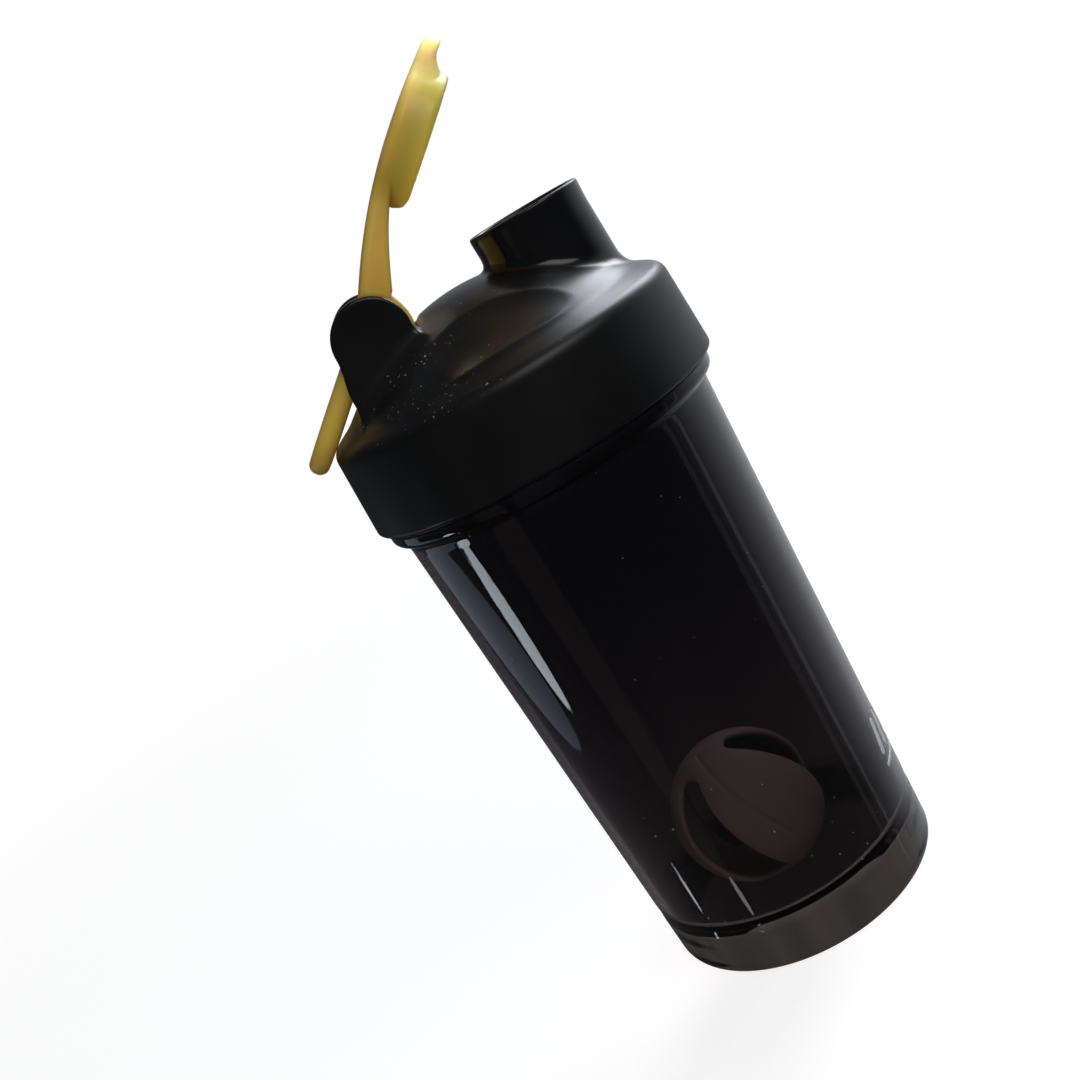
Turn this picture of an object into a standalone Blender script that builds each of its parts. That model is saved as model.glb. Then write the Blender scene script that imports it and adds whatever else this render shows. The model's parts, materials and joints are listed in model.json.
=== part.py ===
"""Protein shaker bottle: a smoke-tinted cup, a screw lid with a round spout, a flip cap with a carry loop, a seal
ring and a mixing ball. Metres, +Z up. The origin is under the middle of the whole bottle, in the plane it stands
on. +X points to the spout and the flip cap's hinge runs along Y."""

from math import cos, hypot, pi, radians, sin, sqrt

import bmesh
import bpy
from mathutils import Matrix, Vector

MM = 0.001
SEGMENTS = 64
SPOUT_SEGMENTS = 48
HINGE_SEGMENTS = 40
TRUNNION_SEGMENTS = 24
GAP = 0.3 * MM

# The shapes are built round the bottle's axis, which then stands this far in front of the origin
AXIS_X = 2.7 * MM

# Cup
CUP_BASE_RADIUS = 36.2 * MM
CUP_SHOULDER_RADIUS = 41.45 * MM
CUP_SHOULDER_Z = 133.0 * MM
CUP_WALL = 2.2 * MM
CUP_INNER_CORNER = 2.5 * MM
RIM_EDGE = 0.6 * MM
FOOT_CORNER = 3.2 * MM
FOOT_DRAFT = 1.2 * MM
FOOT_FILLET = 1.5 * MM
FOOT_INNER_RADIUS = 31.7 * MM
FLOOR_TOP = 14.8 * MM
FLOOR_THICKNESS = 2.2 * MM
FLANGE_RADIUS = 44.2 * MM
FLANGE_TOP = 138.0 * MM
FLANGE_STEPS = [(0.5 * MM, 0.0), (0.0, 0.6 * MM), (0.1 * MM, 2.0 * MM), (0.6 * MM, 3.3 * MM), (1.5 * MM, 4.3 * MM)]
NECK_RADIUS = 41.0 * MM
NECK_BORE = 38.9 * MM
RIM_Z = 156.0 * MM

# Screw thread
THREAD_LEAD = 5.0 * MM
THREAD_TURNS = 1.25
THREAD_BASE_WIDTH = 2.4 * MM
THREAD_CREST_WIDTH = 1.2 * MM
THREAD_ROOT_DEPTH = 0.4 * MM
THREAD_FADE = radians(24)
CUP_THREAD_START_Z = 145.2 * MM
CUP_THREAD_CREST = 43.0 * MM
LID_THREAD_CREST = 41.9 * MM

# Lid
LID_RADIUS = 46.15 * MM
LID_BOTTOM = FLANGE_TOP + GAP
LID_CORNER = 1.2 * MM
LID_BORE = 43.8 * MM
LID_WALL = 2.3 * MM
BAND_TOP = 157.0 * MM
BAND_TOP_RADIUS = 45.35 * MM
DOME_TOP = 179.2 * MM
DOME_FALL = 96.5 * MM
DOME_EDGE_RADIUS = 38.3 * MM
EDGE_RING_RADIUS = 44.0 * MM
EDGE_RING_Z = 160.9 * MM
EDGE_CORNER_RADIUS = 44.95 * MM
EDGE_CORNER_Z = 159.6 * MM
GUIDE_RADIUS = 42.0 * MM
GUIDE_BOTTOM = 120.0 * MM
SEAT_Z = 158.2 * MM
PLUG_RADIUS = 38.3 * MM
PLUG_WALL = 1.5 * MM
PLUG_BOTTOM = 153.2 * MM
SCOOP_CENTRE = (-1.0 * MM, 29.2 * MM)
SCOOP_HALF_LENGTH = 20.5 * MM
SCOOP_HALF_WIDTH = 7.8 * MM
SCOOP_DEPTH = 1.9 * MM

# Spout
SPOUT_X = 22.9 * MM
SPOUT_TOP = 186.8 * MM
SPOUT_RADIUS = 14.3 * MM
SPOUT_BASE_RADIUS = 15.0 * MM
SPOUT_EDGE = 0.4 * MM
SPOUT_BASE_Z = 165.0 * MM
SPOUT_GUIDE_BOTTOM = 140.0 * MM
SPOUT_BORE = 12.2 * MM
BORE_TOP = 195.0 * MM
BORE_BOTTOM = 150.0 * MM

# Hinge
HINGE_X = -22.5 * MM
HINGE_Z = 179.7 * MM
OPEN_ANGLE = radians(40)
EAR_RADIUS = 9.5 * MM
EAR_BACK = [(-11.3 * MM, 160.0 * MM), (-11.2 * MM, 171.7 * MM), (-10.4 * MM, 176.7 * MM)]
EAR_FRONT = [(9.6 * MM, 175.7 * MM), (9.3 * MM, 171.7 * MM), (9.3 * MM, 160.0 * MM)]
EAR_INNER_Y = 13.0 * MM
EAR_OUTER_Y = 17.0 * MM
POCKET_RADIUS = 10.9 * MM
POCKET_WALL = 2.0 * MM
TRUNNION_RADIUS = 3.0 * MM
TRUNNION_END = 15.0 * MM

# Flip cap, in its closed position
CAP_RADIUS = 16.15 * MM
CAP_TOP = 190.9 * MM
CAP_SKIRT_BOTTOM = 181.3 * MM
CAP_SKIRT_BORE = 14.95 * MM
CAP_CORNER = 3.0 * MM
CAP_CROWN = (8.0 * MM, 0.1 * MM)
CAP_EDGE = 2.0 * MM
CAP_RIM_EDGE = 0.4 * MM
CAP_GUIDE_BOTTOM = 170.0 * MM
CAP_SEAT_Z = SPOUT_TOP + 0.4 * MM
CAP_CEILING_Z = 188.4 * MM
CAP_PLUG_RADIUS = 11.85 * MM
CAP_PLUG_TIP_RADIUS = 11.2 * MM
CAP_PLUG_BORE = 10.3 * MM
CAP_PLUG_BOTTOM = 182.4 * MM
TAB_END_X = 46.0 * MM
TAB_HALF_WIDTH = 7.5 * MM
TAB_TOP = 189.5 * MM
TAB_THICKNESS = 4.0 * MM
TAB_START = 12.5 * MM
TAB_EDGE = 0.8 * MM
TAB_EDGE_SHARE = 0.92
HUB_RADIUS = 10.2 * MM
HUB_HALF_WIDTH = EAR_INNER_Y - GAP
HUB_TOP = 184.3 * MM
HUB_ANGLES = (177, 165, 150, 130, 110, 90, 70, 50, 32, 18, 10)
ARM_TOP_FALL = 270 * MM
ARM_HALF_WIDTH = 9.5 * MM
ARM_START_X = -11.0 * MM
ARM_END_X = 10.9 * MM
ARM_UNDER_START = HINGE_Z - 1.0 * MM
ARM_UNDER_RISE = 7.2 * MM
ARM_UNDER_CURVE = 1.4
ARM_PLACES = (-11.8, -9.0, -6.0, -3.0, 0.0, 3.5, 7.0, 11.5)
ROCKER_EDGE = 0.8 * MM
LOOP_ROOT = 4.0 * MM
LOOP_END_X = -58.1 * MM
LOOP_HALF_WIDTH = 12.4 * MM
LOOP_BAR_WIDTH = 4.4 * MM
LOOP_BAR_HEIGHT = 4.9 * MM
LOOP_Z = 181.75 * MM

# Seal ring
RING_OUTER = 43.4 * MM
RING_INNER = 38.7 * MM

# Mixing ball
BALL_RADIUS = 19.0 * MM
BALL_WALL = 1.8 * MM
BALL_CENTRE = (-3.0 * MM, -13.2 * MM, FLOOR_TOP + GAP + BALL_RADIUS)
BALL_START = radians(253)
BALL_TWIST = radians(-12)
BALL_TILT = radians(-14)
BALL_COLUMNS = 36
BALL_LEAF_COLUMNS = 8
BALL_WINDOW_COLUMNS = 4
BALL_ROWS = 16
BALL_POLE_ROWS = 2


def clear_scene():
    for thing in list(bpy.data.objects):
        bpy.data.objects.remove(thing, do_unlink=True)


def material(name, colour, roughness, alpha=1.0, transmission=0.0):
    made = bpy.data.materials.new(name)
    made.use_nodes = True
    shader = made.node_tree.nodes["Principled BSDF"]
    shader.inputs["Base Color"].default_value = (*colour, 1.0)
    shader.inputs["Roughness"].default_value = roughness
    shader.inputs["Metallic"].default_value = 0.0
    shader.inputs["Alpha"].default_value = alpha
    shader.inputs["Transmission Weight"].default_value = transmission
    return made


def add_object(name, mesh_data, finish=None):
    bmesh.ops.recalc_face_normals(mesh_data, faces=mesh_data.faces)
    mesh = bpy.data.meshes.new(name)
    mesh_data.to_mesh(mesh)
    mesh_data.free()
    mesh.shade_smooth()
    mesh.set_sharp_from_angle(angle=radians(30))
    made = bpy.data.objects.new(name, mesh)
    bpy.context.scene.collection.objects.link(made)
    if finish:
        made.data.materials.append(finish)
    return made


def arc(centre, radius, start, end, steps):
    """Points of a circular arc in the (radius, z) or (x, z) plane, angles in degrees from the first axis."""
    points = []
    for i in range(steps + 1):
        angle = radians(start + (end - start) * i / steps)
        points.append((centre[0] + radius * cos(angle), centre[1] + radius * sin(angle)))
    return points


def lathe(name, profile, centre_x=0.0, sink=None, closed=False, segments=SEGMENTS, finish=None):
    """Turns a profile of (radius, z) points about a vertical axis. A point on the axis becomes one vertex. The
    sink function says how far the point at x, y, z is lowered, for areas that aren't round."""
    bm = bmesh.new()
    rows = []
    for radius, z in profile:
        if radius < 1e-7:
            rows.append([bm.verts.new((centre_x, 0.0, z))])
            continue
        ring = []
        for i in range(segments):
            angle = 2 * pi * i / segments
            x = radius * cos(angle)
            y = radius * sin(angle)
            drop = sink(x, y, z) if sink else 0.0
            ring.append(bm.verts.new((centre_x + x, y, z - drop)))
        rows.append(ring)
    pairs = list(zip(rows, rows[1:]))
    if closed:
        pairs.append((rows[-1], rows[0]))
    for upper, lower in pairs:
        for i in range(segments):
            j = (i + 1) % segments
            corners = [upper[i % len(upper)], upper[j % len(upper)], lower[j % len(lower)], lower[i % len(lower)]]
            bm.faces.new(list(dict.fromkeys(corners)))
    return add_object(name, bm, finish)


def extrude_outline(name, outline, low_y, high_y, finish=None):
    """A flat plate: an outline of (x, z) points given depth along Y."""
    bm = bmesh.new()
    near = [bm.verts.new((x, low_y, z)) for x, z in outline]
    far = [bm.verts.new((x, high_y, z)) for x, z in outline]
    bm.faces.new(near)
    bm.faces.new(list(reversed(far)))
    for i in range(len(outline)):
        j = (i + 1) % len(outline)
        bm.faces.new((near[i], far[i], far[j], near[j]))
    return add_object(name, bm, finish)


def cross_cylinder(name, radius, half_length, segments=HINGE_SEGMENTS):
    """A cylinder along the hinge axis."""
    outline = []
    for i in range(segments):
        angle = 2 * pi * i / segments
        outline.append((HINGE_X + radius * cos(angle), HINGE_Z + radius * sin(angle)))
    return extrude_outline(name, outline, -half_length, half_length)


def loft(name, sections, finish=None):
    """Joins sections, each a list of points round the shape, and closes both ends."""
    bm = bmesh.new()
    rings = [[bm.verts.new(point) for point in section] for section in sections]
    for first, second in zip(rings, rings[1:]):
        for i in range(len(first)):
            j = (i + 1) % len(first)
            bm.faces.new((first[i], first[j], second[j], second[i]))
    bm.faces.new(rings[0])
    bm.faces.new(list(reversed(rings[-1])))
    return add_object(name, bm, finish)


def combine(target, tool, operation):
    """Adds a Boolean to the target and leaves the tool as a hidden guide."""
    step = target.modifiers.new(f"{operation.lower()}_{tool.name}", "BOOLEAN")
    step.operation = operation
    step.solver = "EXACT"
    step.object = tool
    tool.hide_render = True
    tool.display_type = "WIRE"


def thread(name, root_radius, crest_radius, start_z):
    """A right-hand helical ridge, with both ends faded into the wall."""
    steps = round(SEGMENTS * THREAD_TURNS)
    sections = []
    inwards = -1 if crest_radius < root_radius else 1
    for i in range(steps + 1):
        angle = 2 * pi * THREAD_TURNS * i / steps
        from_end = min(angle, 2 * pi * THREAD_TURNS - angle)
        rise = 0.15 + 0.85 * min(1.0, from_end / THREAD_FADE)
        z = start_z + THREAD_LEAD * angle / (2 * pi)
        crest = root_radius + (crest_radius - root_radius) * rise
        buried = root_radius - inwards * THREAD_ROOT_DEPTH
        corners = (
            (buried, -THREAD_BASE_WIDTH / 2),
            (crest, -THREAD_CREST_WIDTH / 2),
            (crest, THREAD_CREST_WIDTH / 2),
            (buried, THREAD_BASE_WIDTH / 2),
        )
        sections.append([(r * cos(angle), r * sin(angle), z + dz) for r, dz in corners])
    return loft(name, sections)


def cup_radius(z):
    """Outer radius of the tapered wall at a height."""
    return CUP_BASE_RADIUS + (CUP_SHOULDER_RADIUS - CUP_BASE_RADIUS) * z / CUP_SHOULDER_Z


def make_cup():
    finish = material("smoke_plastic", (0.03, 0.03, 0.035), 0.1, alpha=0.75, transmission=0.6)
    foot_centre = cup_radius(FOOT_CORNER) - FOOT_CORNER
    floor_under = FLOOR_TOP - FLOOR_THICKNESS
    floor_edge = cup_radius(FLOOR_TOP) - CUP_WALL
    corner = CUP_INNER_CORNER
    profile = [(0.0, FLOOR_TOP)]
    profile += arc((floor_edge - corner, FLOOR_TOP + corner), corner, -90, 0, 3)
    profile += [
        (CUP_SHOULDER_RADIUS - CUP_WALL, CUP_SHOULDER_Z),
        (NECK_BORE, FLANGE_TOP),
        (NECK_BORE, RIM_Z - RIM_EDGE),
        (NECK_BORE + RIM_EDGE, RIM_Z),
        (NECK_RADIUS - RIM_EDGE, RIM_Z),
        (NECK_RADIUS, RIM_Z - RIM_EDGE),
        (NECK_RADIUS, FLANGE_TOP),
    ]
    profile += [(FLANGE_RADIUS - inwards, FLANGE_TOP - down) for inwards, down in FLANGE_STEPS]
    profile.append((CUP_SHOULDER_RADIUS, CUP_SHOULDER_Z))
    profile += arc((foot_centre, FOOT_CORNER), FOOT_CORNER, 0, -90, 4)
    profile += [
        (FOOT_INNER_RADIUS, 0.0),
        (FOOT_INNER_RADIUS + FOOT_DRAFT, floor_under - FOOT_FILLET),
        (FOOT_INNER_RADIUS + FOOT_DRAFT - FOOT_FILLET, floor_under),
        (0.0, floor_under),
    ]
    cup = lathe("cup", profile, finish=finish)
    ridge = thread("cup_thread_guide", NECK_RADIUS, CUP_THREAD_CREST, CUP_THREAD_START_Z)
    combine(cup, ridge, "UNION")
    return cup


def dome_z(radius):
    """Height of the lid's domed top over a radius, before the finger scoops."""
    return DOME_TOP - radius * radius / DOME_FALL


def scoop(x, y):
    """Depth of the two oval finger scoops, one on each side of the dome."""
    along = (x - SCOOP_CENTRE[0]) / SCOOP_HALF_LENGTH
    across = (abs(y) - SCOOP_CENTRE[1]) / SCOOP_HALF_WIDTH
    return SCOOP_DEPTH * max(0.0, 1.0 - along * along - across * across)


def lid_shell(finish):
    dome_radii = [DOME_EDGE_RADIUS * f for f in (0.0, 0.18, 0.36, 0.5, 0.57, 0.64, 0.71, 0.78, 0.85, 0.92, 1.0)]
    outer = [(r, dome_z(r)) for r in dome_radii]
    inner_radii = [f * (PLUG_RADIUS - PLUG_WALL) for f in (1.0, 0.9, 0.8, 0.7, 0.6, 0.4, 0.2, 0.0)]
    inner = [(r, dome_z(r) - LID_WALL) for r in inner_radii]
    middle = [
        (EDGE_RING_RADIUS, EDGE_RING_Z),
        (EDGE_CORNER_RADIUS, EDGE_CORNER_Z),
        (BAND_TOP_RADIUS, BAND_TOP),
        (LID_RADIUS, LID_BOTTOM + LID_CORNER),
        (LID_RADIUS - 0.35 * LID_CORNER, LID_BOTTOM + 0.35 * LID_CORNER),
        (LID_RADIUS - LID_CORNER, LID_BOTTOM),
        (LID_BORE, LID_BOTTOM),
        (LID_BORE, SEAT_Z),
        (PLUG_RADIUS, SEAT_Z),
        (PLUG_RADIUS, PLUG_BOTTOM),
        (PLUG_RADIUS - PLUG_WALL, PLUG_BOTTOM),
    ]

    def sink(x, y, z):
        on_dome = z > dome_z(hypot(x, y)) - LID_WALL - 0.1 * MM
        return scoop(x, y) if on_dome else 0.0

    return lathe("lid", outer + middle + inner, sink=sink, finish=finish)


def under_dome(name, lift):
    """Solid that fills the space below the dome's inner face, raised by lift."""
    radii = [GUIDE_RADIUS * i / 7 for i in range(8)]
    profile = [(r, dome_z(r) - LID_WALL + lift) for r in radii]
    profile += [(GUIDE_RADIUS, GUIDE_BOTTOM), (0.0, GUIDE_BOTTOM)]
    return lathe(name, profile, segments=SPOUT_SEGMENTS)


def ear_outline():
    """Side view of one ear: a round head that widens into the dome."""
    back = [(HINGE_X + x, z) for x, z in EAR_BACK]
    head = arc((HINGE_X, HINGE_Z), EAR_RADIUS, 174, -6, 15)
    front = [(HINGE_X + x, z) for x, z in EAR_FRONT]
    return back + head + front


def make_lid():
    finish = material("black_plastic", (0.012, 0.012, 0.014), 0.4)
    lid = lid_shell(finish)
    core = under_dome("lid_inside_guide", 0.8 * MM)
    envelope = under_dome("lid_envelope_guide", LID_WALL - 0.5 * MM)
    spout = lathe(
        "spout_guide",
        [
            (0.0, SPOUT_TOP),
            (SPOUT_RADIUS - SPOUT_EDGE, SPOUT_TOP),
            (SPOUT_RADIUS, SPOUT_TOP - SPOUT_EDGE),
            (SPOUT_BASE_RADIUS, SPOUT_BASE_Z),
            (SPOUT_BASE_RADIUS, SPOUT_GUIDE_BOTTOM),
            (0.0, SPOUT_GUIDE_BOTTOM),
        ],
        centre_x=SPOUT_X,
        segments=SPOUT_SEGMENTS,
    )
    combine(spout, core, "DIFFERENCE")
    combine(lid, spout, "UNION")
    bulge = cross_cylinder("pocket_wall_guide", POCKET_RADIUS + POCKET_WALL, EAR_INNER_Y + POCKET_WALL)
    combine(bulge, envelope, "INTERSECT")
    combine(lid, bulge, "UNION")
    for side, name in ((-1, "near"), (1, "far")):
        low, high = sorted((side * EAR_INNER_Y, side * EAR_OUTER_Y))
        ear = extrude_outline(f"ear_{name}_guide", ear_outline(), low, high)
        combine(ear, core, "DIFFERENCE")
        combine(lid, ear, "UNION")
    bore = lathe(
        "spout_bore_guide",
        [(0.0, BORE_TOP), (SPOUT_BORE, BORE_TOP), (SPOUT_BORE, BORE_BOTTOM), (0.0, BORE_BOTTOM)],
        centre_x=SPOUT_X,
        segments=SPOUT_SEGMENTS,
    )
    combine(lid, bore, "DIFFERENCE")
    pocket = cross_cylinder("pocket_guide", POCKET_RADIUS, EAR_INNER_Y)
    combine(lid, pocket, "DIFFERENCE")
    sockets = cross_cylinder("socket_guide", TRUNNION_RADIUS + GAP, TRUNNION_END + GAP, TRUNNION_SEGMENTS)
    combine(lid, sockets, "DIFFERENCE")
    ridge = thread("lid_thread_guide", LID_BORE, LID_THREAD_CREST, CUP_THREAD_START_Z - THREAD_LEAD / 2)
    combine(lid, ridge, "UNION")
    return lid


def rocker_section(x):
    """Top, bottom and half-width of the flip cap's arm and hub at a place along it."""
    share = min(1.0, max(0.0, (x - ARM_START_X) / (ARM_END_X - ARM_START_X)))
    top = max(HUB_TOP, CAP_TOP - (SPOUT_X - x) ** 2 / ARM_TOP_FALL)
    from_hinge = x - HINGE_X
    if from_hinge < HUB_RADIUS * cos(radians(HUB_ANGLES[-1])) + GAP / 2:
        bottom = HINGE_Z - sqrt(HUB_RADIUS**2 - from_hinge**2)
    else:
        bottom = ARM_UNDER_START + ARM_UNDER_RISE * (1.0 - (1.0 - share) ** ARM_UNDER_CURVE)
    width = HUB_HALF_WIDTH + (ARM_HALF_WIDTH - HUB_HALF_WIDTH) * (3 * share**2 - 2 * share**3)
    return top, bottom, width


def make_rocker_body():
    stations = [HINGE_X + HUB_RADIUS * cos(radians(angle)) for angle in HUB_ANGLES]
    stations += [x * MM for x in ARM_PLACES]
    sections = []
    for x in stations:
        top, bottom, width = rocker_section(x)
        trim = min(ROCKER_EDGE, (top - bottom) / 3)
        corners = (
            (-width + trim, bottom), (-width, bottom + trim), (-width, top - trim), (-width + trim, top),
            (width - trim, top), (width, top - trim), (width, bottom + trim), (width - trim, bottom),
        )
        sections.append([(x, y, z) for y, z in corners])
    return loft("rocker_body_guide", sections)


def make_loop():
    """The carry loop: a bar that runs out from the hub, round in a half circle and back."""
    half = LOOP_HALF_WIDTH - LOOP_BAR_WIDTH / 2
    turn_x = LOOP_END_X + LOOP_BAR_WIDTH / 2 + half
    start_x = HINGE_X - LOOP_ROOT
    path = [(start_x + (turn_x - start_x) * i / 4, -half, 0.0, -1.0) for i in range(4)]
    for i in range(17):
        angle = radians(-90 - 180 * i / 16)
        path.append((turn_x + half * cos(angle), half * sin(angle), cos(angle), sin(angle)))
    path += [(turn_x + (start_x - turn_x) * i / 4, half, 0.0, 1.0) for i in range(1, 5)]
    sections = []
    for x, y, out_x, out_y in path:
        ring = []
        for i in range(12):
            angle = 2 * pi * i / 12
            across = LOOP_BAR_WIDTH / 2 * cos(angle)
            up = LOOP_BAR_HEIGHT / 2 * sin(angle)
            ring.append((x + out_x * across, y + out_y * across, LOOP_Z + up))
        sections.append(ring)
    return loft("loop_guide", sections)


def make_tab():
    """The finger tab in front of the cap: a flat tongue with a round end."""
    low = TAB_TOP - TAB_THICKNESS
    start = SPOUT_X + TAB_START
    straight_end = TAB_END_X - TAB_HALF_WIDTH
    plan = [(start, -TAB_HALF_WIDTH)]
    plan += [
        (straight_end + TAB_HALF_WIDTH * cos(radians(d)), TAB_HALF_WIDTH * sin(radians(d)))
        for d in range(-90, 91, 15)
    ]
    plan.append((start, TAB_HALF_WIDTH))
    levels = (
        (low, TAB_EDGE_SHARE),
        (low + TAB_EDGE, 1.0),
        (TAB_TOP - TAB_EDGE, 1.0),
        (TAB_TOP, TAB_EDGE_SHARE),
    )
    sections = []
    for z, share in levels:
        sections.append([(start + (x - start) * share, y * share, z) for x, y in plan])
    return loft("tab_guide", sections)


def make_flip_cap(hinge):
    finish = material("yellow_plastic", (0.75, 0.47, 0.05), 0.35, transmission=0.1)
    profile = [(0.0, CAP_TOP), (CAP_CROWN[0], CAP_TOP - CAP_CROWN[1])]
    profile += arc((CAP_RADIUS - CAP_EDGE, CAP_TOP - 1.25 * CAP_EDGE), CAP_EDGE, 90, 0, 4)
    profile += [
        (CAP_RADIUS, CAP_SKIRT_BOTTOM + CAP_RIM_EDGE),
        (CAP_RADIUS - CAP_RIM_EDGE, CAP_SKIRT_BOTTOM),
        (CAP_SKIRT_BORE + CAP_RIM_EDGE, CAP_SKIRT_BOTTOM),
        (CAP_SKIRT_BORE, CAP_SKIRT_BOTTOM + CAP_RIM_EDGE),
        (CAP_SKIRT_BORE, CAP_SEAT_Z),
        (CAP_PLUG_RADIUS, CAP_SEAT_Z),
        (CAP_PLUG_RADIUS, CAP_SEAT_Z - 3 * CAP_RIM_EDGE),
        (CAP_PLUG_TIP_RADIUS, CAP_PLUG_BOTTOM),
        (CAP_PLUG_BORE, CAP_PLUG_BOTTOM),
        (CAP_PLUG_BORE, CAP_CEILING_Z),
        (0.0, CAP_CEILING_Z),
    ]

    def skirt_corner(x, y, z):
        on_rim = z < CAP_SKIRT_BOTTOM + 2 * CAP_RIM_EDGE and hypot(x, y) > CAP_PLUG_RADIUS
        if not on_rim:
            return 0.0
        into_corner = max(0.0, CAP_CORNER - CAP_RADIUS - x)
        return sqrt(CAP_CORNER**2 - into_corner**2) - CAP_CORNER

    cap = lathe("flip_cap", profile, centre_x=SPOUT_X, sink=skirt_corner, segments=SPOUT_SEGMENTS, finish=finish)
    clear_radius = (CAP_SKIRT_BORE + CAP_RADIUS) / 2
    clear_top = (CAP_SEAT_Z + CAP_CEILING_Z) / 2
    inside = lathe(
        "cap_inside_guide",
        [(0.0, clear_top), (clear_radius, clear_top), (clear_radius, CAP_GUIDE_BOTTOM), (0.0, CAP_GUIDE_BOTTOM)],
        centre_x=SPOUT_X,
        segments=SPOUT_SEGMENTS,
    )
    body = make_rocker_body()
    combine(body, inside, "DIFFERENCE")
    tab = make_tab()
    combine(tab, inside, "DIFFERENCE")
    loop = make_loop()
    trunnions = cross_cylinder("trunnion_guide", TRUNNION_RADIUS, TRUNNION_END, TRUNNION_SEGMENTS)
    for part in (body, tab, loop, trunnions):
        combine(cap, part, "UNION")
    for part in (cap, inside, body, tab, loop, trunnions):
        part.data.transform(Matrix.Translation(Vector((-HINGE_X, 0.0, -HINGE_Z))))
        part.parent = hinge
    return cap


def make_seal_ring():
    finish = material("grey_silicone", (0.35, 0.35, 0.36), 0.6)
    low = RIM_Z + GAP
    high = SEAT_Z - GAP
    profile = [(RING_INNER, low), (RING_OUTER, low), (RING_OUTER, high), (RING_INNER, high)]
    return lathe("seal_ring", profile, closed=True, finish=finish)


def ball_cell_is_solid(row, column):
    """The shell is whole near the poles and split into twisted leaves between them."""
    if row < BALL_POLE_ROWS or row >= BALL_ROWS - BALL_POLE_ROWS:
        return True
    return column % (BALL_LEAF_COLUMNS + BALL_WINDOW_COLUMNS) < BALL_LEAF_COLUMNS


def make_mixing_ball():
    finish = material("pale_plastic", (0.55, 0.5, 0.48), 0.4)
    bm = bmesh.new()
    shells = []
    for radius in (BALL_RADIUS, BALL_RADIUS - BALL_WALL):
        rows = []
        for row in range(BALL_ROWS + 1):
            polar = pi * row / BALL_ROWS
            if row in (0, BALL_ROWS):
                rows.append([bm.verts.new((0.0, 0.0, radius * cos(polar)))])
                continue
            ring = []
            for column in range(BALL_COLUMNS):
                turn = BALL_START + 2 * pi * column / BALL_COLUMNS + BALL_TWIST * cos(polar)
                ring.append(bm.verts.new((
                    radius * sin(polar) * cos(turn),
                    radius * sin(polar) * sin(turn),
                    radius * cos(polar),
                )))
            rows.append(ring)
        shells.append(rows)

    def corner(shell, row, column):
        ring = shells[shell][row]
        return ring[column % len(ring)]

    for row in range(BALL_ROWS):
        for column in range(BALL_COLUMNS):
            if not ball_cell_is_solid(row, column):
                continue
            places = ((row, column), (row, column + 1), (row + 1, column + 1), (row + 1, column))
            for shell in (0, 1):
                bm.faces.new(list(dict.fromkeys(corner(shell, *place) for place in places)))
            neighbours = ((row - 1, column), (row, column + 1), (row + 1, column), (row, column - 1))
            for side, (other_row, other_column) in enumerate(neighbours):
                if other_row < 0 or other_row >= BALL_ROWS:
                    continue
                if ball_cell_is_solid(other_row, other_column % BALL_COLUMNS):
                    continue
                a = places[side]
                b = places[(side + 1) % 4]
                bm.faces.new((corner(0, *a), corner(0, *b), corner(1, *b), corner(1, *a)))
    bmesh.ops.transform(bm, verts=bm.verts, matrix=Matrix.Rotation(BALL_TILT, 4, "Y"))
    ball = add_object("mixing_ball", bm, finish)
    ball.location = BALL_CENTRE
    return ball


def main():
    clear_scene()
    make_cup()
    make_lid()
    make_seal_ring()
    make_mixing_ball()
    hinge = bpy.data.objects.new("hinge", None)
    bpy.context.scene.collection.objects.link(hinge)
    hinge.location = (HINGE_X, 0.0, HINGE_Z)
    hinge.rotation_euler = (0.0, -OPEN_ANGLE, 0.0)
    make_flip_cap(hinge)
    for thing in bpy.data.objects:
        if thing.parent is None:
            thing.location.x += AXIS_X


main()
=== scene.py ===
import json
from math import cos, pi, radians, sin

import bpy
import numpy as np
from mathutils import Matrix, Vector


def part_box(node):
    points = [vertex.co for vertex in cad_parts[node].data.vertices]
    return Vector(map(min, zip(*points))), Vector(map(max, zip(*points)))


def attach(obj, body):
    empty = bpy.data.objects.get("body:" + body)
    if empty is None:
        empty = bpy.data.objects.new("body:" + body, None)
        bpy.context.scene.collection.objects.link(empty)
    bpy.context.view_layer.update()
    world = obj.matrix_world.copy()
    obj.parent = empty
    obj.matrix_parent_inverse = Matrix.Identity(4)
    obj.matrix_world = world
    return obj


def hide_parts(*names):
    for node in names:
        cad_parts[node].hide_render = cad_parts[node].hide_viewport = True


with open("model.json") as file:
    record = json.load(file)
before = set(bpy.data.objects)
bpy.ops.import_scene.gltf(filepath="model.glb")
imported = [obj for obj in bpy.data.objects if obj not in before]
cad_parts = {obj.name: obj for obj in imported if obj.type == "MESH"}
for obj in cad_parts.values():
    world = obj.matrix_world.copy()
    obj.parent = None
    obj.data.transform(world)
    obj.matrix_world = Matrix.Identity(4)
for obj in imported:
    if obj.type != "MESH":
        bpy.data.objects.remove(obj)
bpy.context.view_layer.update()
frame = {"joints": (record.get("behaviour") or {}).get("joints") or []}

MM = 0.001


def box_in_mm(node):
    """Lowest and highest corner of a CAD node, in millimetres from the bottle's axis at the base."""
    low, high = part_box(node)
    shift = Vector((AXIS_X, 0.0, 0.0))
    return (low - shift) / MM, (high - shift) / MM


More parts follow.
